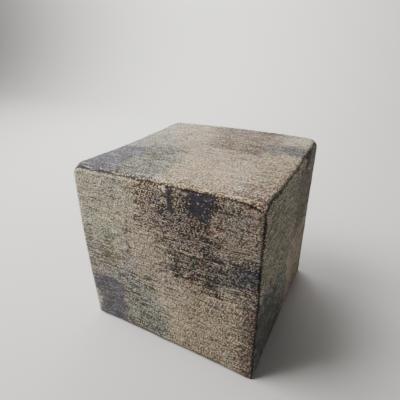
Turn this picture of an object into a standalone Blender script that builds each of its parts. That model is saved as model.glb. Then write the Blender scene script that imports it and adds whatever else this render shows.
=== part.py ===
"""Cube pouf stool: one filled cube inside a cover of six sewn cloth panels.

Metres, +Z up. The origin is on the floor under the middle of the base, and the front faces -Y.

The twelve seams are the edges of a box. A spot on the cover is named by three places, one for
each axis, which run from -1 at one seam to 1 at the other, so on a face one of them is -1 or 1.
From its seams a face rises over a rolled edge and then crowns, and where three seams meet the
corner is pulled in and down. The same rule at greater depths gives the inside of the cloth and
the filling, so that nothing crosses.
"""

from typing import NamedTuple

import bpy
import numpy as np

# The seam box, from corner seam to corner seam.
SEAM_WIDTH = 0.446
SEAM_DEPTH = 0.437
SEAM_TOP = 0.434
SEAM_FOOT = 0.004

CLOTH = 0.002  # thickness of a panel
SEAM_GAP = 0.0003  # between two panels that are sewn to each other
FILLING_GAP = 0.0004  # between the cloth and the filling
ROLL_REACH = 0.016  # how far from its seam an edge goes on rolling over
ROLL_FULLNESS = 2.2  # above 1, the roll leaves the seam steeply and ends level

CELLS = 16  # across a face, from seam to seam
SEAM_BUNCHING = 2.4  # above 1, the cells get narrower towards the seams

LOW = np.array([-SEAM_WIDTH / 2, -SEAM_DEPTH / 2, SEAM_FOOT])
HIGH = np.array([SEAM_WIDTH / 2, SEAM_DEPTH / 2, SEAM_TOP])
HALF = (HIGH - LOW) / 2
MIDDLE = (HIGH + LOW) / 2


class Panel(NamedTuple):
    """A face of the cover: the axis that it faces along, which way, and how far it stands proud."""

    name: str
    axis: int
    side: int
    roll: float
    crown: float
    colour: tuple


class Corner(NamedTuple):
    """Where three seams meet: how far it is pulled in and down, and how far away that shows."""

    name: str
    places: tuple
    inward: float
    down: float
    reach: float


PANELS = (
    Panel("top_panel", axis=2, side=1, roll=0.0040, crown=0.0060, colour=(0.33, 0.31, 0.27)),
    Panel("front_panel", axis=1, side=-1, roll=0.0030, crown=0.0035, colour=(0.27, 0.24, 0.19)),
    Panel("right_panel", axis=0, side=1, roll=0.0030, crown=0.0035, colour=(0.22, 0.20, 0.17)),
    Panel("back_panel", axis=1, side=1, roll=0.0030, crown=0.0035, colour=(0.27, 0.24, 0.19)),
    Panel("left_panel", axis=0, side=-1, roll=0.0030, crown=0.0035, colour=(0.27, 0.24, 0.19)),
    Panel("base_panel", axis=2, side=-1, roll=SEAM_FOOT, crown=0.0, colour=(0.25, 0.23, 0.19)),
)

CORNERS = (
    Corner("front_left_top", places=(-1, -1, 1), inward=0.0015, down=0.0080, reach=0.110),
    Corner("front_right_top", places=(1, -1, 1), inward=0.0015, down=0.0065, reach=0.070),
    Corner("back_right_top", places=(1, 1, 1), inward=0.0015, down=0.0040, reach=0.090),
    Corner("back_left_top", places=(-1, 1, 1), inward=0.0015, down=0.0040, reach=0.090),
    Corner("front_left_foot", places=(-1, -1, -1), inward=0.0025, down=-0.0015, reach=0.045),
    Corner("front_right_foot", places=(1, -1, -1), inward=0.0020, down=-0.0010, reach=0.040),
    Corner("back_right_foot", places=(1, 1, -1), inward=0.0025, down=-0.0015, reach=0.045),
    Corner("back_left_foot", places=(-1, 1, -1), inward=0.0025, down=-0.0015, reach=0.045),
)

FILLING_COLOUR = (0.62, 0.60, 0.55)
CLOTH_ROUGHNESS = 0.95


def clear_scene():
    for old in list(bpy.data.objects):
        bpy.data.objects.remove(old, do_unlink=True)


def soft_material(name, colour):
    """Plain matt cloth or filling."""
    material = bpy.data.materials.new(name)
    material.use_nodes = True
    shader = material.node_tree.nodes["Principled BSDF"]
    shader.inputs["Base Color"].default_value = (*colour, 1.0)
    shader.inputs["Roughness"].default_value = CLOTH_ROUGHNESS
    shader.inputs["Metallic"].default_value = 0.0
    return material


def lines(axis, margin):
    """The grid's places along an axis, closer together near the seams and a margin short of them."""
    step = np.linspace(-1.0, 1.0, CELLS + 1)
    places = np.sign(step) * (1.0 - (1.0 - np.abs(step)) ** SEAM_BUNCHING)
    places[[0, -1]] *= 1.0 - margin / HALF[axis]
    return places


def across(panel):
    """The two axes that lie in the face, in turning order."""
    return (panel.axis + 1) % 3, (panel.axis + 2) % 3


def line_numbers(panel):
    """For each point of a face's square grid, which line of each axis it lies on."""
    first, second = across(panel)
    numbers = np.empty((CELLS + 1, CELLS + 1, 3), int)
    numbers[..., panel.axis] = CELLS if panel.side > 0 else 0
    numbers[..., first] = np.arange(CELLS + 1)[:, None]
    numbers[..., second] = np.arange(CELLS + 1)[None, :]
    return numbers


def rolled(places, axis):
    """0 on the seams and 1 past the rolled edge: one less a power of what is left of the reach."""
    to_seam = (1.0 - np.abs(places)) * HALF[axis]
    left = 1.0 - np.clip(to_seam / ROLL_REACH, 0.0, 1.0)
    return 1.0 - left**ROLL_FULLNESS


def pulled(places):
    """How far the corners move each spot: all the way at the corner, easing to none at its reach."""
    spots = MIDDLE + HALF * places
    pull = np.zeros_like(spots)
    for corner in CORNERS:
        x, y, _ = corner.places
        way = np.array([-x * corner.inward, -y * corner.inward, -corner.down])
        apart = np.linalg.norm(spots - (MIDDLE + HALF * corner.places), axis=-1)
        near = np.clip(1.0 - apart / corner.reach, 0.0, 1.0)
        pull += (near**2 * (3.0 - 2.0 * near))[..., None] * way
    return pull


def face_points(panel, depth, margin):
    """The face at a depth under the cloth's outside: box, then roll and crown, then pulled corners."""
    first, second = across(panel)
    numbers = line_numbers(panel)
    places = np.empty(numbers.shape)
    places[..., panel.axis] = panel.side
    for axis in (first, second):
        places[..., axis] = lines(axis, margin)[numbers[..., axis]]
    points = MIDDLE + (HALF - depth) * places
    roll = rolled(places[..., first], first) * rolled(places[..., second], second)
    crown = (1.0 - places[..., first] ** 2) * (1.0 - places[..., second] ** 2)
    points[..., panel.axis] += panel.side * (panel.roll * roll + panel.crown * crown)
    return points + pulled(places)


def grid_faces(outward):
    """Two triangles for each cell of a face's grid, always split along the same diagonal."""
    number = np.arange((CELLS + 1) ** 2).reshape(CELLS + 1, CELLS + 1)
    low, right = number[:-1, :-1].ravel(), number[1:, :-1].ravel()
    high, left = number[1:, 1:].ravel(), number[:-1, 1:].ravel()
    faces = np.concatenate([np.stack([low, right, high], 1), np.stack([low, high, left], 1)])
    return faces if outward else faces[:, ::-1]


def grid_rim():
    """The outer points of a face's grid in order, once round."""
    number = np.arange((CELLS + 1) ** 2).reshape(CELLS + 1, CELLS + 1)
    return np.concatenate([number[:-1, 0], number[-1, :-1], number[:0:-1, -1], number[0, :0:-1]])


def make_object(name, points, faces, colour):
    mesh = bpy.data.meshes.new(name)
    mesh.from_pydata(points.tolist(), [], faces.tolist())
    mesh.materials.append(soft_material(name, colour))
    mesh.shade_smooth()
    made = bpy.data.objects.new(name, mesh)
    bpy.context.collection.objects.link(made)
    return made


def cover_panel(panel):
    """A sheet of cloth: its outside, its inside, and the cut edge that follows the mitre."""
    margin = SEAM_GAP / np.sqrt(2.0)
    outside = face_points(panel, 0.0, margin).reshape(-1, 3)
    inside = face_points(panel, CLOTH, margin).reshape(-1, 3)
    outward = panel.side > 0
    rim = grid_rim()
    after = np.roll(rim, -1)
    under = len(outside)
    edge = np.concatenate(
        [np.stack([rim, rim + under, after + under], 1), np.stack([rim, after + under, after], 1)]
    )
    faces = np.concatenate(
        [
            grid_faces(outward),
            grid_faces(not outward) + under,
            edge if outward else edge[:, ::-1],
        ]
    )
    return make_object(panel.name, np.concatenate([outside, inside]), faces, panel.colour)


def filled_body():
    """The filling: all six faces, under the cloth, joined where they share a line at a seam."""
    depth = CLOTH + FILLING_GAP
    points = np.concatenate([face_points(panel, depth, 0.0).reshape(-1, 3) for panel in PANELS])
    numbers = np.concatenate([line_numbers(panel).reshape(-1, 3) for panel in PANELS])
    faces = np.concatenate(
        [
            grid_faces(panel.side > 0) + place * (CELLS + 1) ** 2
            for place, panel in enumerate(PANELS)
        ]
    )
    _, first, joined = np.unique(numbers, axis=0, return_index=True, return_inverse=True)
    return make_object("filled_body", points[first], joined.reshape(-1)[faces], FILLING_COLOUR)


def main():
    clear_scene()
    for panel in PANELS:
        cover_panel(panel)
    filled_body()


main()
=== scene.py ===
# %% [markdown]
# # A cube pouf in mottled cloth
#
# The pouf is a firm filled cube in a sewn cover: six squares of coarse cloth, joined by plain seams
# along the twelve edges and pushed into low crowns by the filling. They are cut from about the same
# place in the cloth's repeat, so the worn patches lie much alike on each.
#
# This notebook builds the shape first, as numpy surfaces, then a chart of where each yarn comes to
# the top, then the weave as a material, and last the light.

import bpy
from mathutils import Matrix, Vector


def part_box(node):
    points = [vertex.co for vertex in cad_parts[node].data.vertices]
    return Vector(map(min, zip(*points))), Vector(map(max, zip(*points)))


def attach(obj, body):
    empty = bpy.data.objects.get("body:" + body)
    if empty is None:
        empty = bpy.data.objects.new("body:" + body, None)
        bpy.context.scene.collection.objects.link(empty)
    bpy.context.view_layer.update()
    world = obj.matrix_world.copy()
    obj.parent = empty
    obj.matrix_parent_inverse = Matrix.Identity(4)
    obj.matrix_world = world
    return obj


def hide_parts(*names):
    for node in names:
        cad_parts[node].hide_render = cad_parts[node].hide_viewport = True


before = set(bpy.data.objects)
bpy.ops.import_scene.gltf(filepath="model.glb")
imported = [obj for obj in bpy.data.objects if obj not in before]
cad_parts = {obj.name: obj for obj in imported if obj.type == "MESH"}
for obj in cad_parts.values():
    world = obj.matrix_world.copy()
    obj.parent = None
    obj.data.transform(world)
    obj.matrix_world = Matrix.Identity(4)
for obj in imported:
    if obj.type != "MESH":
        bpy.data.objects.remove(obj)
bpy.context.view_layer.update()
print("nodes:", ", ".join(sorted(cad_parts)))

# %% [markdown]
# ## The seam box
#
# Everything is worked out from the box that the twelve seams make, in metres. It could be read from
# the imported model, but named sizes are easier to learn from, so they are stated and then compared
# with it. A spot on the cover is named by three places, one for each axis, which run from -1 at one
# seam to 1 at the other. On a face, one of the three is -1 or 1.

# %% Sizes of the seam box
from collections import namedtuple

import bpy
import numpy as np
from mathutils import Matrix

SEAM_WIDTH, SEAM_DEPTH = 0.446, 0.437
SEAM_TOP, SEAM_FOOT = 0.434, 0.004
CLOTH = 0.002  # its thickness

LOW = np.array([-SEAM_WIDTH / 2, -SEAM_DEPTH / 2, SEAM_FOOT])
HIGH = np.array([SEAM_WIDTH / 2, SEAM_DEPTH / 2, SEAM_TOP])
HALF = (HIGH - LOW) / 2
MIDDLE = (HIGH + LOW) / 2

filling_low, filling_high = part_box("filled_body")
print("seam box:", LOW, HIGH, "filling:", filling_low[:], filling_high[:])

# %% [markdown]
# ## Six faces
#
# The faces could be one function each, but they differ so little that a table is clearer: the axis
# that a face looks along and which way, then the axes that run right and up on the cloth, each with
# its sign. Right turned to up points out of the cube, so every grid below is wound the right way.

# %% The table of faces
X, Y, Z = 0, 1, 2
# A square of cloth, how far it rolls and crowns, how far its dark yarn is lifted towards the light one (on
# the top this lift is painted sheen), and where in the repeat it is cut.
FACE_USUAL = (0.0030, 0.0035, 0.0, (0.0, 0.0))
Face = namedtuple("Face", "name axis side right up roll crown fade shift", defaults=FACE_USUAL)
FACES = (
    Face("top_panel", Z, 1, (X, 1), (Y, 1), roll=0.0052, crown=0.0060, fade=0.08, shift=(-0.012, 0.012)),
    Face("front_panel", Y, -1, (X, 1), (Z, 1)),
    Face("right_panel", X, 1, (Y, 1), (Z, 1), shift=(-0.006, 0.020)),
    Face("back_panel", Y, 1, (X, -1), (Z, 1), shift=(-0.008, 0.006)),
    Face("left_panel", X, -1, (Y, -1), (Z, 1), shift=(0.012, 0.0)),
    Face("base_panel", Z, -1, (X, 1), (Y, -1), roll=SEAM_FOOT, crown=0.0, fade=0.10),
)


def axes_of(face):
    """The axes that run right and up on a face."""
    return face.right[0], face.up[0]


def other_axes(axis):
    """The two axes besides this one."""
    return [other for other in (X, Y, Z) if other != axis]


def from_corner(face, places):
    """How far each spot lies right of and above the square's lower left corner, from 0 to 2."""
    return [1.0 + way * places[..., axis] for axis, way in (face.right, face.up)]


print(len(FACES), "faces:", ", ".join(face.name for face in FACES))

# %% [markdown]
# ## Rolled edges, pulled corners and bowed seams
#
# Cloth over a firm block leaves the seam steeply, bellies out a few millimetres, and is level again
# within two centimetres. Where three seams meet, the sewing pulls the corner down. Between corners a
# seam sags or swells with the filling under it. All this could be sculpted by hand, but the same
# formulas give the outside of the cloth, its inside and the filling, so nothing can cross.

# %% Roll, corners and bows
ROLL_REACH = 0.016  # how far from its seam an edge goes on rolling over
ROLL_FULLNESS = 2.2  # above 1, the roll leaves the seam steeply and ends level
BOW_REACH = 0.080  # how far from a bowed seam the faces go along with it
# How far a corner is pulled in and down, and how far away that shows.
Corner = namedtuple("Corner", "places inward down reach")
# A seam's axis, its places on the others, its middle's move, and its lean to the far end of the axis.
Bow = namedtuple("Bow", "along ends move lean", defaults=(0.0,))
CORNERS = [
    Corner((-1, -1, 1), inward=0.0, down=0.0080, reach=0.022),
    Corner((1, -1, 1), inward=-0.0010, down=0.0075, reach=0.040),
    Corner((1, 1, 1), inward=0.0008, down=0.0060, reach=0.024),
    Corner((-1, 1, 1), inward=0.0, down=0.0060, reach=0.022),
]
CORNERS += [Corner((*top.places[:2], -1), inward=-0.0005, down=0.0024, reach=0.080) for top in CORNERS]
BOWS = (
    Bow(X, (-1, 1), move=(0.0, 0.0008, 0.0025), lean=0.9),
    Bow(Y, (-1, 1), move=(0.0004, 0.0, -0.0039)),
    Bow(X, (1, 1), move=(0.0, 0.0009, 0.0035)),
    Bow(Y, (1, 1), move=(0.0020, 0.0, -0.0014), lean=-0.8),
    Bow(Z, (-1, -1), move=(-0.0033, -0.0031, 0.0)),
    Bow(Z, (1, -1), move=(0.0020, -0.0008, 0.0)),
)


def eased(share):
    """0 below 0, 1 above 1, and between them three squares less two cubes, which starts level."""
    share = np.clip(share, 0.0, 1.0)
    return share**2 * (3.0 - 2.0 * share)


def bell(away, reach):
    """1 at no distance and little beyond the reach: e to the power of minus their ratio squared."""
    return np.exp(-((away / reach) ** 2))


def level(face, places):
    """0 on a face's seams, 1 past its rolled edges: one less a power of what is left of the reach."""
    inset = (1.0 - np.abs(places)) * HALF
    left = 1.0 - np.clip(inset / ROLL_REACH, 0.0, 1.0)
    right, up = axes_of(face)
    return (1.0 - left[..., right] ** ROLL_FULLNESS) * (1.0 - left[..., up] ** ROLL_FULLNESS)


def pulled(places):
    """Each corner's pull, eased to none at its reach, and then each bow's."""
    spots = MIDDLE + HALF * places
    pull = np.zeros_like(spots)
    for corner in CORNERS:
        x, y, _ = corner.places
        way = np.array([-x * corner.inward, -y * corner.inward, -corner.down])
        apart = np.linalg.norm(spots - (MIDDLE + HALF * corner.places), axis=-1)
        pull += eased(1.0 - apart / corner.reach)[..., None] * way
    for bow in BOWS:
        pair = other_axes(bow.along)
        apart = np.linalg.norm((1.0 - places[..., pair] * bow.ends) * HALF[pair], axis=-1)
        run = places[..., bow.along]
        bent = eased(1.0 - apart / BOW_REACH) * (1.0 - run**2) * (1.0 + bow.lean * run)
        pull += bent[..., None] * np.array(bow.move)
    return pull


print("corners pulled down by", [round(corner.down * 1000, 1) for corner in CORNERS], "mm")

# %% [markdown]
# ## The seam's valley
#
# A plain seam is sewn on the wrong side and turned, so from outside it is a narrow valley that the
# stitches hold down. A groove cut with a Boolean would have hard edges. Here both faces that share a
# seam sink towards it by a bell-shaped curve, a little deeper at each stitch. Between its corners
# they also sway sideways together, as no seam is quite straight. At a foot corner the folded seam
# allowances fill the cloth out, so there the valley stops. All three axes are treated alike, so
# faces still meet.

# %% Smooth noise, and the valley along every seam
VALLEY_DEPTH, VALLEY_REACH = 0.0009, 0.0031
VALLEY_END = 0.020  # how far from a corner the valley and the sway are in full
STITCH_PITCH = 0.0062
STITCH_PULL = 0.22  # how much deeper the valley is at a stitch, as a share
SWAY, SWAY_PITCH, SWAY_REACH = 0.0011, 0.017, 0.012
SWAY_SEED, SWAY_ROWS = 300, (0.04, 0.08)  # each seam reads its noise along a row of its own
LATTICE = 64


def soft_noise(seed, x, y, pitch, stretch=1.0):
    """Random heights from -1 to 1 on a lattice, stretched along x, with eased steps between."""
    heights = np.random.default_rng(seed).uniform(-1.0, 1.0, (LATTICE, LATTICE))
    x, y = x / (pitch * stretch), y / pitch
    column, row = np.floor(x).astype(int), np.floor(y).astype(int)
    right, up = eased(x - column), eased(y - row)
    near, far = column % LATTICE, (column + 1) % LATTICE
    low, high = row % LATTICE, (row + 1) % LATTICE
    below = heights[near, low] * (1.0 - right) + heights[far, low] * right
    above = heights[near, high] * (1.0 - right) + heights[far, high] * right
    return below * (1.0 - up) + above * up


def drawn_in(places):
    """A bell of the distance from each seam, as a sinking, deepest at a stitch, and as a sway."""
    inset = (1.0 - np.abs(places)) * HALF
    to_foot = np.linalg.norm([inset[..., X], inset[..., Y], (1.0 + places[..., Z]) * HALF[Z]], axis=0)
    open_seam = eased(to_foot / VALLEY_END)
    sink = np.zeros_like(places)
    for along in (X, Y, Z):
        first, second = other_axes(along)
        away = np.hypot(inset[..., first], inset[..., second])
        wave = np.cos(2.0 * np.pi * HALF[along] * places[..., along] / STITCH_PITCH)
        depth = VALLEY_DEPTH * (1.0 + STITCH_PULL * wave) * open_seam
        sides = np.sign(places[..., first]), np.sign(places[..., second])
        row = SWAY_ROWS[0] * sides[0] + SWAY_ROWS[1] * sides[1]
        sway = SWAY * soft_noise(SWAY_SEED + along, HALF[along] * places[..., along], row, SWAY_PITCH)
        sway = sway * eased(inset[..., along] / VALLEY_END) * bell(away, SWAY_REACH)
        valley = depth * bell(away, VALLEY_REACH)
        sink[..., first] -= sides[0] * (valley + sway)
        sink[..., second] -= sides[1] * (valley - sway)
    return sink


print("valley", VALLEY_DEPTH * 1000, "mm deep,", round(SEAM_WIDTH / STITCH_PITCH), "stitches across")

# %% [markdown]
# ## Grids on the faces
#
# Every surface here is a grid of points on a face, or six that share the points on the seams.
# Subdividing a cube would do for the filling, but not for a sheet with an edge, and own grids can
# have closer lines near the seams, where the surface bends most. The inside of the cloth is hidden,
# so its grid is coarse, and the cut edge between the two is a fan of triangles.

# %% Grid lines, places, faces and the cut edge
FINE_CELLS = 224
COARSE_STEP = 8  # an inside cell for each so many outside ones
LINE_BUNCHING = 1.25
SEAM_GAP = 0.0003


def grid_places(face, lines_right, lines_up):
    """The places of a face's grid, whose first index runs right and whose second runs up."""
    places = np.empty((len(lines_right), len(lines_up), 3))
    places[..., face.axis] = face.side
    places[..., face.right[0]] = face.right[1] * lines_right[:, None]
    places[..., face.up[0]] = face.up[1] * lines_up[None, :]
    return places


def face_grid(face, cells, margin):
    """The places of a grid whose lines bunch towards the seams and end a margin short of them."""
    step = np.linspace(-1.0, 1.0, cells + 1)
    found = np.sign(step) * (1.0 - (1.0 - np.abs(step)) ** LINE_BUNCHING)
    lines = np.tile(found, (2, 1))
    lines[:, [0, -1]] *= 1.0 - margin / HALF[[*axes_of(face)], None]
    return grid_places(face, *lines)


def grid_quads(wide, high):
    """Four corners for each cell of a grid, wound so that right turned to up faces out."""
    number = np.arange(wide * high).reshape(wide, high)
    corners = (number[:-1, :-1], number[1:, :-1], number[1:, 1:], number[:-1, 1:])
    return np.stack([corner.ravel() for corner in corners], axis=1)


def grid_rim(wide, high):
    """The outer points of a grid: along the bottom, up, back along the top, and down."""
    number = np.arange(wide * high).reshape(wide, high)
    return np.concatenate([number[:-1, 0], number[-1, :-1], number[:0:-1, -1], number[0, :0:-1]])


def cut_edge(outer, inner):
    """A fan of triangles from each point of a coarse rim to the fine one, and one to close."""
    step = len(outer) // len(inner)
    places = np.arange(len(outer))
    fans = np.stack([outer, inner[places // step], np.roll(outer, -1)], axis=1)
    next_outer, next_inner = np.roll(outer[::step], -1), np.roll(inner, -1)
    return np.concatenate([fans, np.stack([next_outer, inner, next_inner], axis=1)])


def joined_box(cells):
    """Six grids as one box, whose points are one where they share three grid lines.

    Gives which points to keep, what each becomes, and the faces between.
    """
    step = np.arange(cells + 1) * 2 - cells
    numbers = []
    for face in FACES:
        on_face = grid_places(face, step, step)
        on_face[..., face.axis] *= cells
        numbers.append(np.rint(on_face).astype(int).reshape(-1, 3))
    _, kept, joined = np.unique(np.concatenate(numbers), axis=0, return_index=True, return_inverse=True)
    quads = grid_quads(cells + 1, cells + 1)
    apart = np.concatenate([quads + place * (cells + 1) ** 2 for place in range(len(FACES))])
    joined = joined.reshape(-1)
    return kept, joined, joined[apart]


print("outside cells:", FINE_CELLS**2, "inside cells:", (FINE_CELLS // COARSE_STEP) ** 2)

# %% [markdown]
# ## Putting arrays into a mesh
#
# from_pydata wants lists, and is slow for a hundred thousand faces. foreach_set takes the arrays as
# they are: points, then the corners of all faces in one row, then where each face starts in it.

# %% A mesh from arrays
SHARP_ANGLE = np.radians(50.0)


def add_object(name, data):
    """An object at the origin that holds this data."""
    made = bpy.data.objects.new(name, data)
    bpy.context.collection.objects.link(made)
    return made


def make_mesh(name, points, face_groups):
    """A mesh that holds these points and groups of faces."""
    mesh = bpy.data.meshes.new(name)
    counts = np.concatenate([np.full(len(group), group.shape[1]) for group in face_groups])
    corners = np.concatenate([group.ravel() for group in face_groups]).astype(np.int32)
    starts = np.concatenate([[0], np.cumsum(counts)[:-1]]).astype(np.int32)
    mesh.vertices.add(len(points))
    mesh.vertices.foreach_set("co", points.astype(np.float32).ravel())
    mesh.loops.add(len(corners))
    mesh.loops.foreach_set("vertex_index", corners)
    mesh.polygons.add(len(counts))
    mesh.polygons.foreach_set("loop_start", starts)
    mesh.update(calc_edges=True)
    return mesh


def make_piece(name, points, face_groups, material):
    """An object at the origin with such a mesh, shaded smooth but for its sharp edges."""
    mesh = make_mesh(name, points, face_groups)
    mesh.shade_smooth()
    mesh.set_sharp_from_angle(angle=SHARP_ANGLE)
    mesh.materials.append(material)
    piece = add_object(name, mesh)
    triangles = sum(len(group) * (group.shape[1] - 2) for group in face_groups)
    print(f"{name}: {len(points)} points, {triangles} triangles, valid: {not mesh.validate()}")
    return piece


# %% [markdown]
# ## Blowing up the cover
#
# How a filled cover bellies out, and how it gathers along its seams, comes from the cloth itself. A
# formula gives the first but not the second. So an empty flat-sided cover is blown up by Blender's
# Cloth, with its seams and base held. Near the seams it is cut a little too large, as sewing always
# leaves it, and the pressure gathers it into short folds there. Weights from 0 to 1 set how much:
# shrinking by a negative amount, where the weight is 0, makes cloth larger.

# %% Simulate the filled cover
BLOWN_CELLS = 48
PRESSURE = 1.5
TENSION, SHEAR, BENDING = 60.0, 20.0, 0.5
SLACK, SLACK_REACH = 0.010, 0.020  # how much too large the cloth is, and how far off a seam
FRAMES, STEPS = 20, 6  # and the solver's steps for each frame
UNEVEN_START = 0.0006  # perfectly flat cloth wouldn't know which way to fold
BULGE_CAP = 0.012  # no point moves out further than this
WEIGHT_STEPS = 10
TINY = 1e-6  # what is closer than this touches


def weigh(thing, name, weights):
    """A vertex group with a weight for each point, in few steps, because then few calls do."""
    group = thing.vertex_groups.new(name=name)
    steps = np.rint(weights * WEIGHT_STEPS).astype(int)
    for step in range(WEIGHT_STEPS + 1):
        group.add(np.flatnonzero(steps == step).tolist(), step / WEIGHT_STEPS, "REPLACE")
    return group.name


def blow_up(cells):
    """The height of each face's points after the simulation, as one grid for each face."""
    kept, joined, quads = joined_box(cells)
    even = np.linspace(-1.0, 1.0, cells + 1)
    places = np.concatenate([grid_places(face, even, even).reshape(-1, 3) for face in FACES])[kept]
    to_seam = np.sort((1.0 - np.abs(places)) * HALF, axis=1)[:, 1]
    held = (to_seam < TINY) | (places[:, Z] < -1.0 + TINY)
    start = MIDDLE + HALF * places
    outward = np.sign(places) * (np.abs(places) > 1.0 - TINY) * ~held[:, None]
    start += outward * np.random.default_rng(1).uniform(0.0, UNEVEN_START, (len(start), 1))
    mesh = make_mesh("blown cover", start, [quads])
    cover = add_object("blown cover", mesh)
    cloth = cover.modifiers.new("Cloth", "CLOTH")
    settings = cloth.settings
    settings.vertex_group_mass = weigh(cover, "held", held.astype(float))
    settings.vertex_group_shrink = weigh(cover, "taut", 1.0 - bell(to_seam, SLACK_REACH))
    settings.shrink_min, settings.shrink_max = -SLACK, 0.0
    settings.quality = STEPS
    settings.tension_stiffness = settings.compression_stiffness = TENSION
    settings.shear_stiffness, settings.bending_stiffness = SHEAR, BENDING
    settings.use_pressure = True
    settings.uniform_pressure_force = PRESSURE
    settings.effector_weights.gravity = 0.0
    cloth.collision_settings.use_collision = False
    cloth.point_cache.frame_start, cloth.point_cache.frame_end = 1, FRAMES
    for frame_number in range(1, FRAMES + 1):
        bpy.context.scene.frame_set(frame_number)
    blown = cover.evaluated_get(bpy.context.evaluated_depsgraph_get()).data
    found = np.empty(len(start) * 3, np.float32)
    blown.vertices.foreach_get("co", found)
    bpy.data.objects.remove(cover, do_unlink=True)
    bpy.data.meshes.remove(mesh)
    bpy.context.scene.frame_set(1)
    moved = (found.reshape(-1, 3) - MIDDLE)[joined].reshape(len(FACES), cells + 1, cells + 1, 3)
    heights = [moved[n, ..., face.axis] * face.side - HALF[face.axis] for n, face in enumerate(FACES)]
    return np.clip(heights, 0.0, BULGE_CAP)


blown_heights = blow_up(BLOWN_CELLS)
print("bulge of each face in mm:", [round(1000.0 * float(grid.max()), 1) for grid in blown_heights])
BULGES = {face.name: grid / max(grid.max(), TINY) for face, grid in zip(FACES, blown_heights)}

# %% [markdown]
# ## Reading a bulge between its grid lines
#
# The simulated grid is coarser than the cloth's own. Straight lines between its points would show as
# facets, so a curve through the four nearest lines each way is used, named after Catmull and Rom.

# %% Read the bulge anywhere on a face
def curve_weights(share):
    """How much each of four neighbours counts at a share of the way between the middle two."""
    return (
        share * (-0.5 + share * (1.0 - 0.5 * share)),
        1.0 + share**2 * (1.5 * share - 2.5),
        share * (0.5 + share * (2.0 - 1.5 * share)),
        share**2 * (0.5 * share - 0.5),
    )


def bulge(face, places):
    """The simulated height at places on the face, as a share of its highest point."""
    grid = BULGES[face.name]
    cells = len(grid) - 1
    column, row = (share * cells / 2.0 for share in from_corner(face, places))
    left = np.clip(np.floor(column).astype(int), 0, cells - 1)
    low = np.clip(np.floor(row).astype(int), 0, cells - 1)
    height = np.zeros(column.shape)
    for aside, sideways in enumerate(curve_weights(column - left)):
        for above, upward in enumerate(curve_weights(row - low)):
            near = grid[np.clip(left + aside - 1, 0, cells), np.clip(low + above - 1, 0, cells)]
            height += sideways * upward * near
    return height


# %% [markdown]
# ## Small puckers and uneven filling
#
# The thread also draws up folds that are finer than the simulated grid, and the filling is never
# quite even. Both could be painted on as bumps, but then no outline would show them. Random numbers
# on a lattice, joined by smooth curves, make them real. Each lattice has its own seed, so the pouf
# comes out the same every time.

# %% Puckers and unevenness
PUCKER_HEIGHT = 0.00045
PUCKER_REACH = 0.006  # how far from the seam a pucker is highest
PUCKER_SPACING = 0.009
PUCKER_STRETCH = 4.0  # it runs this much further across the seam than along it
LUMPS = ((0.075, 1.0, 0.0008), (0.028, 1.0, 0.0003), (0.011, 1.0, 0.00012))  # pitch, stretch, height
FACE_SEEDS, LUMP_SEEDS = 100, 10  # so that no two lattices share their seed


def layered_noise(seed, x, y, layers):
    """The sum of a few noises, each with its own pitch, stretch along x, and size."""
    return sum(
        size * soft_noise(seed + number, x, y, pitch, stretch)
        for number, (pitch, stretch, size) in enumerate(layers)
    )


def puckers(face, places, seed):
    """Off each seam: a wandering value along it, times a curve that rises, then fades away."""
    height = np.zeros(places.shape[:-1])
    right, up = axes_of(face)
    edges = ((right, up, -1), (right, up, 1), (up, right, -1), (up, right, 1))
    for number, (across, along, end) in enumerate(edges):
        away = (1.0 - end * places[..., across]) * HALF[across] / PUCKER_REACH
        run = HALF[along] * places[..., along]
        size = soft_noise(seed + number, run, away * PUCKER_REACH / PUCKER_STRETCH, PUCKER_SPACING)
        height += PUCKER_HEIGHT * size * away * np.exp(1.0 - away)
    return height


print("puckers", PUCKER_HEIGHT * 1000, "mm high,", PUCKER_REACH * 1000, "mm off the seam")

# %% [markdown]
# ## One rule for the whole surface
#
# The skin is the seam box, shrunk by a depth under the cloth's outside, then rolled, blown up, lumped,
# drawn in at its seams and pulled at its corners. The base lies flat, so it has no lumps.

# %% The skin at a depth
def skin(face, places, depth):
    """Box, plus the roll and crown along the face's axis, plus what seams and corners draw in."""
    inside = level(face, places)
    height = face.roll * inside
    if face.crown:
        seed = FACE_SEEDS * (1 + FACES.index(face))
        x, y = (HALF[axis] * places[..., axis] for axis in axes_of(face))
        height += face.crown * bulge(face, places)
        height += puckers(face, places, seed) + layered_noise(seed + LUMP_SEEDS, x, y, LUMPS) * inside
    points = MIDDLE + (HALF - depth) * places
    points[..., face.axis] += face.side * height
    points += pulled(places) + drawn_in(places)
    points[..., Z] = np.maximum(points[..., Z], depth)
    return points


middle = np.array([[0.0, 0.0, 1.0]])
print("top of the crown at", np.round(skin(FACES[0], middle, 0.0)[0], 4))

# %% [markdown]
# ## Yarns
#
# The cloth is woven from a few dyed yarns, and what looks like a hundred colours from a step away is
# two of them at a time, in changing shares. Values are linear light.

# %% The palette
YARNS = {
    "cream": (0.74, 0.66, 0.50),
    "tan": (0.74, 0.585, 0.425),
    "blush": (0.68, 0.545, 0.415),
    "ash": (0.62, 0.585, 0.49),
    "stone": (0.42, 0.35, 0.29),
    "fog": (0.27, 0.265, 0.27),
    "mist": (0.50, 0.52, 0.54),
    "ochre": (0.62, 0.47, 0.32),
    "olive": (0.150, 0.132, 0.092),
    "umber": (0.130, 0.100, 0.062),
    "bark": (0.090, 0.065, 0.047),
    "soot": (0.028, 0.022, 0.021),
    "navy": (0.046, 0.038, 0.050),
    "slate": (0.098, 0.092, 0.112),
    "moss": (0.066, 0.068, 0.054),
}
print(len(YARNS), "yarns")

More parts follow.
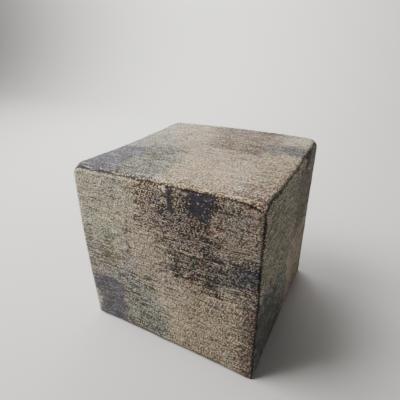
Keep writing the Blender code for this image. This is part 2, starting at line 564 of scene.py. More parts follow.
# %% [markdown]
# ## The chart
#
# A chart tells the weaver what comes to the top where. It could be drawn as a picture. A table of
# soft-edged rectangles is closer to how the worn look is designed: a pale ground, then one patch
# after another laid over it. A row gives the left, right, low and high bounds from the square's
# lower left corner and the width of the soft edge, in millimetres. Then come the share of dark yarn,
# the two yarns, and, if it isn't 10, the share of floats that run together into streaks, both in
# hundredths. The top and the right side have some patches of their own, and the base has none.

# %% The table of patches
FAR = 1000  # a bound that lies outside the square
Patch = namedtuple("Patch", "name left right low high edge share dark light streak")


def patch(name, left, right, low, high, edge, share, dark, light, streak=10):
    """A row of the table in metres and parts of one."""
    sizes = (size / 1000.0 for size in (left, right, low, high, edge))
    return Patch(name, *sizes, share / 100.0, dark, light, streak / 100.0)


def chart(*rows):
    """A patch for each row of a table."""
    return tuple(patch(*row) for row in rows)


GROUND = patch("ground", -FAR, FAR, -FAR, FAR, 10, 36, "olive", "cream")
PATCHES = chart(
    ("grey field", -FAR, 170, 90, 272, 50, 56, "olive", "ash", 25),
    ("pale upright", 142, 172, 250, FAR, 30, 34, "olive", "blush"),
    ("tan field", 226, 432, -FAR, 224, 34, 47, "umber", "tan"),
    ("pale foot", 232, 292, -FAR, 116, 40, 36, "umber", "tan"),
    ("brown foot", 300, 425, -FAR, 150, 60, 56, "umber", "tan"),
    ("blush field", 142, 248, 170, 318, 40, 38, "umber", "blush"),
    ("upper right", 345, FAR, 298, FAR, 30, 46, "bark", "stone"),
    ("brown block", 168, 246, 322, FAR, 16, 60, "bark", "blush"),
    ("brown gap", 262, 294, 396, FAR, 10, 54, "bark", "stone"),
    ("charcoal field", 224, 360, 300, 396, 30, 61, "soot", "stone", 10),
    ("band", 236, FAR, 216, 312, 36, 60, "soot", "stone", 20),
    ("heart of the band", 318, 402, 240, 300, 34, 70, "soot", "stone", 20),
    ("navy end", 396, FAR, 256, 300, 20, 84, "navy", "fog", 40),
    ("navy fringe", 282, 362, 360, FAR, 22, 74, "soot", "stone"),
    ("navy block", 297, 353, 376, 430, 10, 93, "navy", "stone"),
    ("navy bar", 249.5, 264.5, 380, FAR, 4, 97, "navy", "stone"),
    ("navy dash", 238, 268, 310, 320, 4, 94, "navy", "blush", 80),
    ("navy streak", 332, 346, 300, 345, 8, 86, "navy", "stone"),
    ("left ochre", 242, 262, 323, 339, 10, 44, "bark", "ochre"),
    ("right ochre", 350, 380, 355, 374, 10, 42, "bark", "ochre"),
    ("high dash", 262, 372, 292, 298, 4, 90, "soot", "tan", 90),
    ("low dash", 262, 350, 224.5, 229, 4, 80, "soot", "tan", 90),
    ("step of the band", 346, 398, 202, 222, 14, 64, "soot", "tan", 50),
    ("long upright", 136.5, 143, 240, 330, 4, 70, "umber", "blush"),
    ("short upright", 236, 241, 215, 315, 4, 78, "bark", "blush"),
    ("mauve upright", 127, 148, 186, 240, 16, 58, "slate", "ash"),
    ("small smudge", 78, 96, 268, 290, 12, 58, "moss", "cream"),
    ("weft streaks", -FAR, 110, 160, 250, 30, 70, "olive", "ash", 60),
    ("grey green", 100, 192, 104, 190, 34, 62, "moss", "ash", 40),
    ("slate block", 16, 116, -FAR, 146, 20, 66, "slate", "fog", 50),
    ("mauve heart", 22, 72, 80, 138, 22, 76, "slate", "fog", 40),
    ("slate foot", 46, 112, -FAR, 90, 34, 72, "slate", "fog", 50),
    ("speckled foot", 114, 236, -FAR, 108, 26, 64.5, "moss", "ash", 30),
    ("bright fleck", 114, 158, 44, 96, 18, 46, "moss", "ash", 20),
    ("moss spot", 196, 228, 26, 76, 20, 66, "moss", "ash"),
    ("brown spot", 340, 366, 138, 184, 14, 66, "bark", "tan"),
    ("low smudge", 342, 352, 40, 86, 10, 68, "umber", "tan"),
    ("right strip", 414, FAR, -FAR, 214, 20, 74, "bark", "stone"),
)
TOP_PATCHES = PATCHES + chart(
    ("misty edge", -FAR, 60, 150, FAR, 60, 42, "slate", "ash", 30),
    ("misty slate", -FAR, 130, -FAR, 148, 44, 88, "slate", "mist", 50),
    ("grey heart", 120, 205, 80, 167, 40, 82, "moss", "ash", 30),
    ("pale fleck", 118, 160, 40, 70, 20, 60, "moss", "ash", 40),
    ("warm middle", 240, 300, 70, 190, 50, 36, "umber", "blush"),
    ("brown cloud", 234, 360, 235, FAR, 44, 73, "bark", "blush", 20),
    ("teal end", 372, FAR, 250, 300, 24, 60, "moss", "fog", 40),
    ("pale corner", 375, FAR, 320, FAR, 40, 42, "umber", "cream"),
    # Painted light: the near part of the top is drawn paler, as if more brightly lit.
    ("sunny front", 290, 424, -FAR, 150, 44, 39, "umber", "tan"),
    ("pale strip", 400, FAR, 140, 245, 30, 49, "umber", "tan"),
    ("seam strip", 420, FAR, -FAR, 162, 22, 66, "umber", "tan"),
    ("near corner", 396, FAR, -FAR, 76, 40, 68, "bark", "blush"),
    ("purple back", 230, 300, 345, FAR, 34, 79, "slate", "blush", 20),
    ("dark end", 312, 362, 385, FAR, 20, 93, "navy", "blush", 20),
    ("misty step", 50, 100, 190, 262, 50, 56, "slate", "ash", 30),
)
RIGHT_PATCHES = PATCHES + chart(
    ("olive field", -FAR, 225, 190, FAR, 60, 65.5, "olive", "cream", 20),
    ("worn back", 262, 372, 230, 372, 40, 57, "bark", "stone", 10),
    # Painted light: the upper edge of the right side is drawn paler, as if lit.
    ("pale top", -FAR, 300, 385, FAR, 30, 46, "olive", "cream", 20),
    # Partly the slate block of the repeat and partly painted shade: the right side is drawn darker low down,
    # by the floor.
    ("dark foot", -FAR, 160, -FAR, 120, 70, 64, "moss", "fog", 30),
    ("dark corner", -FAR, 110, -FAR, 188, 60, 80, "moss", "fog", 30),
)
CHARTS = {"top_panel": TOP_PATCHES, "right_panel": RIGHT_PATCHES, "base_panel": ()}
print(len(TOP_PATCHES), "patches on top:", ", ".join(patch.name for patch in TOP_PATCHES))

# %% [markdown]
# ## Reading the chart
#
# Real patches have ragged bounds, because the floats at their edge come and go. So each spot is moved
# a little by noise before it is looked up, further where the edge is softer. Sideways the noise
# changes with every pick or two, which frays the upright bounds into weft streaks. The share of dark
# yarn wanders as well, mostly along the weft, and so does the dye, between warm and cool and between
# pink and green.

# %% Shares and yarns at each spot
FRAYED = ((0.024, 1.0, 0.4), (0.0030, 9.0, 1.0))  # pitch, stretch, and size in edge widths
WAVERED = ((0.024, 1.0, 0.5), (0.0060, 2.0, 0.6))
DYEING = ((0.030, 1.0, 0.5), (0.009, 1.5, 0.5))
WARM, PINK = np.array([0.10, 0.0, -0.12]), np.array([0.07, -0.05, 0.07])  # full swings in colour
MOTTLING = ((0.034, 1.0, 0.05), (0.012, 1.5, 0.06), (0.0032, 7.0, 0.06))  # the last is a share
FRAY_SEED, WAVER_SEED, PATCH_SEEDS = 1000, 1005, 10
MOTTLE_SEED, WARM_SEED, PINK_SEED = 500, 520, 540


def between(low, high, edge, at):
    """1 between the bounds and 0 outside them, eased over an edge that is centred on each bound."""
    return eased((at - low) / edge + 0.5) * eased((high - at) / edge + 0.5)


def patch_weight(patch, number, right, up):
    """How far a patch covers each spot, with its bounds made ragged by noise."""
    seed = PATCH_SEEDS * number
    frayed = right + patch.edge * layered_noise(FRAY_SEED + seed, right, up, FRAYED)
    wavered = up + patch.edge * layered_noise(WAVER_SEED + seed, right, up, WAVERED)
    sideways = between(patch.left, patch.right, patch.edge, frayed)
    return sideways * between(patch.low, patch.high, patch.edge, wavered)


def in_row(patch):
    """A patch's shares and yarns in one row of numbers."""
    return np.array([patch.share, patch.streak, *YARNS[patch.dark], *YARNS[patch.light]])


def read_chart(patches, right, up):
    """Each patch in turn takes over from the ground by its weight; then uneven dyeing."""
    cloth = np.tile(in_row(GROUND), (*right.shape, 1))
    for number, patch in enumerate(patches):
        cloth += patch_weight(patch, number, right, up)[..., None] * (in_row(patch) - cloth)
    share = cloth[..., 0] + layered_noise(MOTTLE_SEED, right, up, MOTTLING)
    warm = layered_noise(WARM_SEED, right, up, DYEING)[..., None] * WARM
    pink = layered_noise(PINK_SEED, right, up, DYEING)[..., None] * PINK
    dyed = 1.0 + warm + pink
    dark, light = cloth[..., 2:5] * dyed, np.minimum(cloth[..., 5:] * dyed, 1.0)
    return np.clip(share, 0.0, 1.0), cloth[..., 1], dark, light


# %% [markdown]
# ## Small helpers for nodes
#
# A line that says what a node is fed with reads better than a row of assignments. One helper sets a
# plain value on a socket and links a socket to a socket, and others do sums and mixing.

# %% Helpers for node trees
VALUE, VECTOR = "NodeSocketFloat", "NodeSocketVector"
MIX_SOCKETS = {"FLOAT": (2, 3, 0), "RGBA": (6, 7, 2)}  # a Mix node's two inputs, and its result


def feed(tree, inputs, feeds):
    """Each input is linked to a socket or set to a value."""
    for place, given in dict(feeds).items():
        if isinstance(given, bpy.types.NodeSocket):
            tree.links.new(given, inputs[place])
        else:
            inputs[place].default_value = given


def add_node(tree, kind, feeds=(), **settings):
    """The outputs of a new shader node with these settings and feeds."""
    made = tree.nodes.new("ShaderNode" + kind)
    for name, value in settings.items():
        setattr(made, name, value)
    feed(tree, made.inputs, feeds)
    return made.outputs


def sums(tree, operation, *feeds):
    """The result of one Math node."""
    return add_node(tree, "Math", enumerate(feeds), operation=operation)[0]


def around_one(tree, value, spread):
    """A value from 0 to 1 made a factor whose middle is 1."""
    return sums(tree, "MULTIPLY_ADD", value, spread, 1.0 - spread / 2.0)


def mixed(tree, kind, factor, first, second, **settings):
    """What lies between two numbers or two colours, at this factor."""
    one, other, result = MIX_SOCKETS[kind]
    return add_node(tree, "Mix", {0: factor, one: first, other: second}, data_type=kind, **settings)[result]


def smooth_noise(tree, place, size):
    """The outputs of a Noise texture with soft blobs of about this size."""
    return add_node(tree, "TexNoise", {"Vector": place, "Scale": 1.0 / size, "Detail": 1.0})


def new_group(name, inputs, outputs):
    """An empty node group with these named sockets, and its input and output nodes."""
    tree = bpy.data.node_groups.new(name, "ShaderNodeTree")
    for ways, sockets in (("INPUT", inputs), ("OUTPUT", outputs)):
        for socket, kind in sockets.items():
            tree.interface.new_socket(name=socket, in_out=ways, socket_type=kind)
    return tree, tree.nodes.new("NodeGroupInput").outputs, tree.nodes.new("NodeGroupOutput").inputs


# %% [markdown]
# ## Woven floats
#
# Where a weft yarn passes over several warp yarns it shows as a short dash, a float. Each pick, or
# row of weft, is out of step with the next. A Brick texture comes close, but has no random number
# for each brick. White Noise on the row and column number has. Pure chance would clump, though, and
# a loom deals its yarns more evenly, so each number also steps on from its neighbour's by the golden
# ratio, which puts light beside dark, and only part is chance.

# %% Node group: one random number and one relief for each float
NEXT_COLUMN, NEXT_ROW, DISORDER = 0.618, 0.47, 0.35
END_POWER, SIDE_POWER = 6.0, 2.0  # a float is flat along its length and round across it


def rounded(tree, steps, power):
    """1 midway between two whole steps and 0 on them: one less a power of how far off midway."""
    away = sums(tree, "ABSOLUTE", sums(tree, "MULTIPLY_ADD", sums(tree, "FRACT", steps), 2.0, -1.0))
    return sums(tree, "SUBTRACT", 1.0, sums(tree, "POWER", away, power))


def build_floats():
    """Row and column numbers from the place, a random number from them, and a rounded height."""
    tree, given, found = new_group(
        "Woven floats",
        {"Place": VECTOR, "Float Length": VALUE, "Pick": VALUE},
        {"Random": VALUE, "Shade": VALUE, "Relief": VALUE},
    )
    spot = add_node(tree, "SeparateXYZ", {0: given["Place"]})
    rows = sums(tree, "DIVIDE", spot["Y"], given["Pick"])
    row = sums(tree, "FLOOR", rows)
    step = add_node(tree, "TexWhiteNoise", {"W": row}, noise_dimensions="1D")["Value"]
    columns = sums(tree, "ADD", sums(tree, "DIVIDE", spot["X"], given["Float Length"]), step)
    column = sums(tree, "FLOOR", columns)
    cell = add_node(tree, "CombineXYZ", {"X": column, "Y": row})[0]
    chance = add_node(tree, "TexWhiteNoise", {"Vector": cell}, noise_dimensions="2D")
    order = sums(tree, "MULTIPLY_ADD", column, NEXT_COLUMN, sums(tree, "MULTIPLY", row, NEXT_ROW))
    dealt = sums(tree, "MULTIPLY_ADD", chance["Value"], DISORDER, order)
    shade = add_node(tree, "SeparateColor", {0: chance["Color"]})[1]
    relief = sums(tree, "MULTIPLY", rounded(tree, columns, END_POWER), rounded(tree, rows, SIDE_POWER))
    feed(tree, found, {"Random": sums(tree, "FRACT", dealt), "Shade": shade, "Relief": relief})
    return tree


FLOATS = build_floats()
print(FLOATS.name, "has", len(FLOATS.nodes), "nodes")

# %% [markdown]
# ## Fibre fuzz
#
# Yarn, sewing thread and the felt of a filling all share a fine fuzz. It is one small group: noise
# of a given size, as a height for bump and as a slight change of shade.

# %% Node group: fuzz
FUZZ_DETAIL, FUZZ_ROUGHNESS, FUZZ_SPREAD = 3.0, 0.6, 0.5


def build_fuzz():
    """Noise at one size, put out as a height and as a factor near 1 for the colour."""
    inputs, outputs = {"Place": VECTOR, "Size": VALUE}, {"Height": VALUE, "Shade": VALUE}
    tree, given, found = new_group("Fibre fuzz", inputs, outputs)
    scale = sums(tree, "DIVIDE", 1.0, given["Size"])
    feeds = {"Vector": given["Place"], "Scale": scale, "Detail": FUZZ_DETAIL, "Roughness": FUZZ_ROUGHNESS}
    fine = add_node(tree, "TexNoise", feeds)[0]
    feed(tree, found, {"Height": fine, "Shade": around_one(tree, fine, FUZZ_SPREAD)})
    return tree


FUZZ = build_fuzz()
print(FUZZ.name, "has", len(FUZZ.nodes), "nodes")

# %% [markdown]
# ## The cover cloth
#
# The mesh carries the chart as attributes, so the material only has to deal out yarns: a float is
# dark when its random number is under the share of dark yarn at that spot, and near the share it is
# something between, as in a twist of both. Small blotches are added to the number first, because
# neighbouring floats tend to agree. In streaky places some floats are much longer. Shade varies from
# float to float, a little along each pick and each warp end, and painted shade darkens the gaps
# between floats and the cloth down in a seam.

# %% Material: cover cloth
FLOAT_LENGTH, PICK = 0.0027, 0.0016
STREAK_LENGTH = 0.026
WARP_LENGTH, WARP_PITCH = 0.085, 0.0024
BLOTCH_SIZE, BLOTCH_STRENGTH = 0.0045, 0.06
WAVE_SIZE, WAVE_HEIGHT = 0.018, 0.0024  # the rows of floats are never quite straight
FLOAT_EDGE = 0.14  # how softly a float's colour changes around the share
SEAM_SHADE = 0.85  # painted shade: how much darker the cloth is drawn down in a seam
FLOAT_SPREAD, PICK_SPREAD, WARP_SPREAD = 1.4, 0.20, 0.14  # how far the shade of each varies
PAINTED_GAP_LIGHT, PAINTED_FLOAT_LIGHT = 0.60, 0.65  # painted shade between floats: how bright a gap is drawn, and what a float's relief adds
FUZZ_SIZE, FUZZ_HEIGHT = 0.0012, 0.6
BUMP, BUMP_HEIGHT = 0.9, 0.0008
SOFT = {"Specular IOR Level": 0.25, "Sheen Roughness": 0.45}  # for cloth and fibre


def attribute(tree, name, kind="Fac"):
    """What the mesh stores under this name, as a number or a colour."""
    return add_node(tree, "Attribute", attribute_name=name)[kind]


def tinted(tree, colour, factor):
    """The colour times a factor, at most white."""
    return mixed(tree, "RGBA", 1.0, colour, factor, blend_type="MULTIPLY", clamp_result=True)


def shaded_material(name, looks):
    """A new material, its tree, and the inputs of its Principled shader with these looks."""
    material = bpy.data.materials.new(name)
    material.use_nodes = True
    inputs = material.node_tree.nodes["Principled BSDF"].inputs
    feed(material.node_tree, inputs, looks)
    return material, material.node_tree, inputs


def dress(tree, inputs, colour, height, strength, distance):
    """Gives a shader its colour, and a bump from this height."""
    bump = add_node(tree, "Bump", {"Strength": strength, "Distance": distance, "Height": height})
    feed(tree, inputs, {"Base Color": colour, "Normal": bump[0]})


def dealt_yarn(tree, place, short, long):
    """Each float's yarn: its random number against the share of dark yarn, softly."""
    is_long = sums(tree, "GREATER_THAN", attribute(tree, "streak"), long["Shade"])
    chance = mixed(tree, "FLOAT", is_long, short["Random"], long["Random"])
    blotches = smooth_noise(tree, place, BLOTCH_SIZE)[0]
    blotch = sums(tree, "MULTIPLY_ADD", blotches, BLOTCH_STRENGTH, -BLOTCH_STRENGTH / 2.0)
    under = sums(tree, "SUBTRACT", attribute(tree, "dark_share"), sums(tree, "ADD", chance, blotch))
    span = {"Value": under, "From Min": -FLOAT_EDGE / 2.0, "From Max": FLOAT_EDGE / 2.0}
    is_dark = add_node(tree, "MapRange", span, interpolation_type="SMOOTHSTEP")[0]
    light, dark = attribute(tree, "light_yarn", "Color"), attribute(tree, "dark_yarn", "Color")
    return mixed(tree, "RGBA", is_dark, light, dark)


def build_cover_cloth():
    """Deals out light and dark yarn by float, shades it, and raises each float a little."""
    looks = {**SOFT, "Roughness": 0.92, "Sheen Weight": 0.12}
    material, tree, inputs = shaded_material("Cover cloth", looks)
    flat = add_node(tree, "UVMap", uv_map="weave")[0]
    waved = {0: smooth_noise(tree, flat, WAVE_SIZE)[1], 1: (WAVE_HEIGHT,) * 3, 2: flat}
    place = add_node(tree, "VectorMath", waved, operation="MULTIPLY_ADD")[0]
    upright = add_node(tree, "Mapping", {0: flat, "Rotation": (0.0, 0.0, np.pi / 2.0)})[0]
    sizes = ((place, FLOAT_LENGTH, PICK), (place, STREAK_LENGTH, PICK), (upright, WARP_LENGTH, WARP_PITCH))
    short, long, warp = (
        add_node(tree, "Group", {"Place": spot, "Float Length": length, "Pick": pick}, node_tree=FLOATS)
        for spot, length, pick in sizes
    )
    fuzz = add_node(tree, "Group", {"Place": place, "Size": FUZZ_SIZE}, node_tree=FUZZ)
    shade = sums(tree, "MULTIPLY", around_one(tree, short["Shade"], FLOAT_SPREAD), fuzz["Shade"])
    picks = around_one(tree, long["Shade"], PICK_SPREAD)
    ends = around_one(tree, warp["Shade"], WARP_SPREAD)
    # Painted shade: darker in the gaps between floats and, by the seam attribute, down in a seam.
    painted_gap_shade = sums(tree, "MULTIPLY_ADD", short["Relief"], PAINTED_FLOAT_LIGHT, PAINTED_GAP_LIGHT)
    depth = sums(tree, "MULTIPLY_ADD", attribute(tree, "seam"), -SEAM_SHADE, 1.0)
    striped = sums(tree, "MULTIPLY", shade, sums(tree, "MULTIPLY", picks, ends))
    factor = sums(tree, "MULTIPLY", striped, sums(tree, "MULTIPLY", painted_gap_shade, depth))
    colour = tinted(tree, dealt_yarn(tree, place, short, long), factor)
    height = sums(tree, "MULTIPLY_ADD", fuzz["Height"], FUZZ_HEIGHT, short["Relief"])
    dress(tree, inputs, colour, height, BUMP, BUMP_HEIGHT)
    return material


COVER_CLOTH = build_cover_cloth()
print(COVER_CLOTH.name, "has", len(COVER_CLOTH.node_tree.nodes), "nodes")

# %% [markdown]
# ## Felt and thread
#
# The filling only shows as a dark line between two edges of cloth, and the thread as small stitches
# down in the seams. Both are plain fibre: one colour, the fuzz group and a little bump.

# %% Materials: filling and thread
FIBRE_ROUGHNESS, FIBRE_BUMP = 0.95, 0.6


def build_fibre(name, colour, size, sheen):
    """One colour, varied and raised by the fuzz."""
    looks = {**SOFT, "Roughness": FIBRE_ROUGHNESS, "Sheen Weight": sheen}
    material, tree, inputs = shaded_material(name, looks)
    feeds = {"Place": add_node(tree, "TexCoord")["Object"], "Size": size}
    fuzz = add_node(tree, "Group", feeds, node_tree=FUZZ)
    base = add_node(tree, "RGB")[0]
    base.default_value = (*colour, 1.0)
    dress(tree, inputs, tinted(tree, base, fuzz["Shade"]), fuzz["Height"], FIBRE_BUMP, size)
    return material


FILLING = build_fibre("Filling felt", (0.20, 0.18, 0.15), 0.004, sheen=0.1)
THREAD = build_fibre("Sewing thread", (0.050, 0.042, 0.036), 0.0005, sheen=0.2)

# %% [markdown]
# ## Cutting the panels
#
# Each square of cloth is now one call. Its points carry the chart as attributes, and its corners a
# UV map in metres that runs with the cloth, so the weave follows the surface. One more attribute
# says how near a seam is: painted shade down in the seam, and a paler band on the roll beside it,
# part wear and part painted highlight. The painted seam shade is deepest at the near right corner.

# %% Build the six panels
SEAM_SHADE_REACH = 0.0028
DEEPEST_SHADE_REACH = 0.30  # how far from the near right corner the painted seam shade is deepest
FAR_SHADE_SHARE = 0.6  # how dark the painted seam shade is further off, as a share
SEAM_SEED, SEAM_PITCH, SEAM_MEAN, SEAM_SWING = 700, 0.010, 0.9, 0.35
WEAR_AND_HIGHLIGHT, WEAR_AND_HIGHLIGHT_AWAY, WEAR_AND_HIGHLIGHT_REACH = 0.24, 0.0055, 0.0026  # the roll beside a seam is paler, part rubbed and part painted highlight


def seam_shade_and_highlight(face, places, right, up):
    """Painted shade as an uneven bell of the distance to the nearest seam, less a smaller bell beside it for
    a paler roll, part wear and part painted highlight.
    """
    wide, high = (2.0 * HALF[axis] for axis in axes_of(face))
    away = np.minimum(np.minimum(right, wide - right), np.minimum(up, high - up))
    to_corner = np.hypot((1.0 - places[:, X]) * HALF[X], (1.0 + places[:, Y]) * HALF[Y])
    shade_strength = FAR_SHADE_SHARE + (1.0 - FAR_SHADE_SHARE) * eased(1.0 - to_corner / DEEPEST_SHADE_REACH)
    uneven = shade_strength * (SEAM_MEAN + SEAM_SWING * soft_noise(SEAM_SEED + face.axis, right, up, SEAM_PITCH))
    return uneven * bell(away, SEAM_SHADE_REACH) - WEAR_AND_HIGHLIGHT * bell(away - WEAR_AND_HIGHLIGHT_AWAY, WEAR_AND_HIGHLIGHT_REACH)


def put_attribute(mesh, name, values):
    """Stores a number or a colour for each point."""
    if values.ndim == 1:
        mesh.attributes.new(name, "FLOAT", "POINT").data.foreach_set("value", values.astype(np.float32))
    else:
        colours = np.column_stack([values, np.ones(len(values))]).astype(np.float32)
        mesh.attributes.new(name, "FLOAT_COLOR", "POINT").data.foreach_set("color", colours.ravel())


def put_map(mesh, name, places):
    """A UV map that gives each corner of each face the place of its point."""
    corner_points = np.empty(len(mesh.loops), np.int32)
    mesh.loops.foreach_get("vertex_index", corner_points)
    mesh.uv_layers.new(name=name).data.foreach_set("uv", places[corner_points].astype(np.float32).ravel())


def build_panel(face):
    """The outside grid, the inside grid and the cut edge, with the chart stored on the points."""
    outer = face_grid(face, FINE_CELLS, SEAM_GAP / np.sqrt(2.0))
    inner = outer[::COARSE_STEP, ::COARSE_STEP]
    points = np.concatenate([skin(face, outer, 0.0).reshape(-1, 3), skin(face, inner, CLOTH).reshape(-1, 3)])
    under = outer[..., 0].size
    faces = [
        grid_quads(*outer.shape[:2]),
        grid_quads(*inner.shape[:2])[:, ::-1] + under,
        cut_edge(grid_rim(*outer.shape[:2]), grid_rim(*inner.shape[:2]) + under),
    ]
    panel = make_piece(face.name + "_cloth", points, faces, COVER_CLOTH)
    places = np.concatenate([outer.reshape(-1, 3), inner.reshape(-1, 3)])
    right, up = (part * HALF[axis] for part, axis in zip(from_corner(face, places), axes_of(face)))
    cut = right - face.shift[0], up - face.shift[1]
    share, streak, dark, light = read_chart(CHARTS.get(face.name, PATCHES), *cut)
    put_attribute(panel.data, "dark_share", share)
    put_attribute(panel.data, "streak", streak)
    # Painted shade down in the seams, and a paler roll beside them, part wear and part painted highlight.
    put_attribute(panel.data, "seam", seam_shade_and_highlight(face, places, right, up))
    put_attribute(panel.data, "light_yarn", light)
    # The dark yarn is lifted towards the light one by the face's lift; on the top this lift is painted
    # sheen.
    put_attribute(panel.data, "dark_yarn", dark + face.fade * (light - dark))
    put_map(panel.data, "weave", np.column_stack([right, up]))
    return panel


PANELS = {face.name: build_panel(face) for face in FACES}

# %% [markdown]
# ## The filling
#
# The filling is one closed body under the cloth: the six faces once more, at a greater depth and with
# coarser grids, joined where they share their lines.

# %% Build the filling
FILLING_CELLS = 56
FILLING_GAP = 0.0004

kept, _, quads = joined_box(FILLING_CELLS)
grids = [skin(face, face_grid(face, FILLING_CELLS, 0.0), CLOTH + FILLING_GAP) for face in FACES]
filling = make_piece("filling", np.concatenate(grids).reshape(-1, 3)[kept], [quads], FILLING)

# %% [markdown]
# ## Stitches
#
# Where the cover is tight the seam opens a little and its stitches show as short dark dashes, each
# slightly aslant. A curve with a bevel could make them, but hundreds of small bars come out of one
# sum: a path along the seam that rises in its middle, with a ring of points round it.

# %% Build the stitches of all twelve seams
STITCH_LENGTH = 0.0040
STITCH_RADIUS = 0.00042
STITCH_RISE = 0.0005
STITCH_SLANT = 0.0007
RINGS, SIDES = 5, 6
BLUNTNESS = 1.02  # above 1, so that a stitch keeps a little width at its ends


def seam_stitches(along, ends):
    """For each stitch: rings round a path that runs aslant along the seam and rises in its middle."""
    count = int((2.0 * HALF[along] - VALLEY_END) / STITCH_PITCH)
    starts = (np.arange(count) - (count - 1) / 2.0) * STITCH_PITCH
    step = np.linspace(-1.0, 1.0, RINGS)
    runs = (starts[:, None] + step[None, :] * STITCH_LENGTH / 2.0).ravel()
    pair = other_axes(along)
    places = np.empty((len(runs), 3))
    places[:, along] = runs / HALF[along]
    places[:, pair] = ends
    centres = (MIDDLE + HALF * places + pulled(places) + drawn_in(places)).reshape(count, RINGS, 3)
    out, aside, ahead = np.zeros(3), np.zeros(3), np.zeros(3)
    out[pair] = np.array(ends) / np.sqrt(2.0)
    aside[pair] = np.array([ends[0], -ends[1]]) / np.sqrt(2.0)
    ahead[along] = 1.0
    rise = STITCH_RISE * (1.0 - step**2)
    centres = centres + rise[:, None] * out + (step * STITCH_SLANT)[:, None] * aside
    angle = np.arange(SIDES) * 2.0 * np.pi / SIDES
    radius = STITCH_RADIUS * np.sqrt(BLUNTNESS - step**4)
    turned = np.sign(np.dot(np.cross(out, aside), ahead))
    ring = np.cos(angle)[:, None] * out + turned * np.sin(angle)[:, None] * aside
    return centres[:, :, None, :] + radius[:, None, None] * ring


def bar_faces(count):
    """Sides and end caps of so many bars, whose points are numbered bar by bar, ring by ring."""
    number = np.arange(RINGS * SIDES).reshape(RINGS, SIDES)
    after = np.roll(number, -1, axis=1)
    sides = np.stack([number[:-1], after[:-1], after[1:], number[1:]], axis=-1).reshape(-1, 4)
    caps = np.stack([number[0][::-1], number[-1]])
    shift = (np.arange(count) * RINGS * SIDES)[:, None, None]
    return (sides[None] + shift).reshape(-1, 4), (caps[None] + shift).reshape(-1, SIDES)


SEAMS = [(along, (first, second)) for along in (X, Y, Z) for first in (-1, 1) for second in (-1, 1)]
stitch_points = np.concatenate([seam_stitches(along, ends) for along, ends in SEAMS])
stitches = make_piece("seam_stitches", stitch_points.reshape(-1, 3), bar_faces(len(stitch_points)), THREAD)

# %% [markdown]
# ## What each piece stands for
#
# The squares stand for the imported panels, and the filling for the imported body. Nothing moves, so all
# ride on the one body.

# %% Tell the frame about the pieces
for face in FACES:
    panel = PANELS[face.name]
    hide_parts(face.name)
    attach(panel, "root")
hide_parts("filled_body")
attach(filling, "root")
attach(stitches, "root")

# %% [markdown]
# ## Floor and backdrop
#
# A photographer would stand the pouf on a roll of pale paper that curves up behind it. It is one
# profile, floor, quarter circle and wall, drawn out sideways.

# %% Build the paper sweep
SWEEP_WIDTH, SWEEP_FRONT, SWEEP_BACK = 16.0, -4.0, 1.9
SWEEP_RADIUS, SWEEP_HEIGHT = 0.9, 4.0
PAPER_STEPS = 25
PAPER_COLOUR, PAPER_ROUGHNESS = (0.80, 0.80, 0.80, 1.0), 0.9


def build_paper():
    """A profile of floor, quarter circle and wall, carried across the width."""
    turn = np.linspace(0.0, np.pi / 2.0, PAPER_STEPS)
    curve = np.column_stack([SWEEP_BACK + SWEEP_RADIUS * np.sin(turn), SWEEP_RADIUS * (1.0 - np.cos(turn))])
    profile = np.concatenate([[[SWEEP_FRONT, 0.0]], curve, [[SWEEP_BACK + SWEEP_RADIUS, SWEEP_HEIGHT]]])
    points = np.empty((2, len(profile), 3))
    points[..., 0] = np.array([-SWEEP_WIDTH / 2, SWEEP_WIDTH / 2])[:, None]
    points[..., 1:] = profile
    paper = shaded_material("Pale paper", {"Base Color": PAPER_COLOUR, "Roughness": PAPER_ROUGHNESS})[0]
    return make_piece("paper_sweep", points.reshape(-1, 3), [grid_quads(2, len(profile))], paper)


build_paper()

# %% [markdown]
# ## Soft light
#
# One large soft box stands high on the left and a little in front, so the top is brightest, the front
# half as bright, and the right side in shade. A second lamp behind the pouf only washes the paper,
# and the sky gives a weak even fill.

# %% Lights and world
KEY_FROM = np.array([-0.50, -0.27, 0.82])
KEY_DISTANCE, KEY_SIZE, KEY_POWER, KEY_COLOUR = 2.4, 1.5, 95.0, (1.0, 0.965, 0.92)
WASH_PLACE, WASH_WAY = (-1.5, 1.1, 2.6), (-0.1, 0.80, -0.60)
WASH_SIZE, WASH_POWER, WASH_COLOUR = 2.2, 140.0, (1.0, 0.98, 0.95)
SKY_STRENGTH, SKY_COLOUR = 0.058, (1.0, 0.965, 0.90, 1.0)


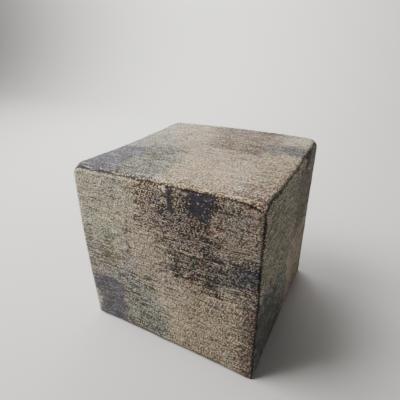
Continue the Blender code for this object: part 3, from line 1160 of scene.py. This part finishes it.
def aim(thing, place, way, up=(0.0, 0.0, 1.0)):
    """Puts a lamp or camera at a place, looking along a direction."""
    back = -np.array(way) / np.linalg.norm(way)
    right = np.cross(up, back)
    right /= np.linalg.norm(right)
    columns = np.column_stack([right, np.cross(back, right), back, place])
    thing.matrix_world = Matrix([*columns.tolist(), [0.0, 0.0, 0.0, 1.0]])


def build_lamp(name, place, way, size, power, colour):
    """A square area lamp at a place, shining along a direction."""
    lamp = bpy.data.lights.new(name, "AREA")
    lamp.size, lamp.energy, lamp.color = size, power, colour
    aim(add_object(name, lamp), place, way)


key_way = KEY_FROM / np.linalg.norm(KEY_FROM)
build_lamp("key", MIDDLE + KEY_DISTANCE * key_way, -key_way, KEY_SIZE, KEY_POWER, KEY_COLOUR)
build_lamp("wall wash", WASH_PLACE, WASH_WAY, WASH_SIZE, WASH_POWER, WASH_COLOUR)

world = bpy.data.worlds.new("Soft sky")
bpy.context.scene.world = world
world.use_nodes = True
sky = world.node_tree.nodes["Background"].inputs
feed(world.node_tree, sky, {"Color": SKY_COLOUR, "Strength": SKY_STRENGTH})

# %% [markdown]
# ## The camera
#
# The camera could be set by eye. Fitting the corners of the seam box to where they are seen gives its
# place and lens more surely. It stands 0.69 m high, looks down at the near corner, and leans by two
# thirds of a degree.

# %% Place the camera
CAMERA_PLACE = (0.3525, -0.6862, 0.6902)
CAMERA_AZIMUTH, CAMERA_ELEVATION, CAMERA_LEAN = np.radians([28.483, 26.768, -0.680])
CAMERA_LENS, CAMERA_SENSOR = 29.455, 36.0

flat = np.cos(CAMERA_ELEVATION)
way = np.array([-np.sin(CAMERA_AZIMUTH) * flat, np.cos(CAMERA_AZIMUTH) * flat, -np.sin(CAMERA_ELEVATION)])
side = np.cross(way, (0.0, 0.0, 1.0))
side /= np.linalg.norm(side)
up = np.cross(side, way) * np.cos(CAMERA_LEAN) - side * np.sin(CAMERA_LEAN)
lens = bpy.data.cameras.new("camera")
lens.lens, lens.sensor_width = CAMERA_LENS, CAMERA_SENSOR
camera = add_object("camera", lens)
aim(camera, CAMERA_PLACE, way, up)
bpy.context.scene.camera = camera
print("camera right:", [round(x, 4) for x in camera.matrix_world.col[0][:3]])
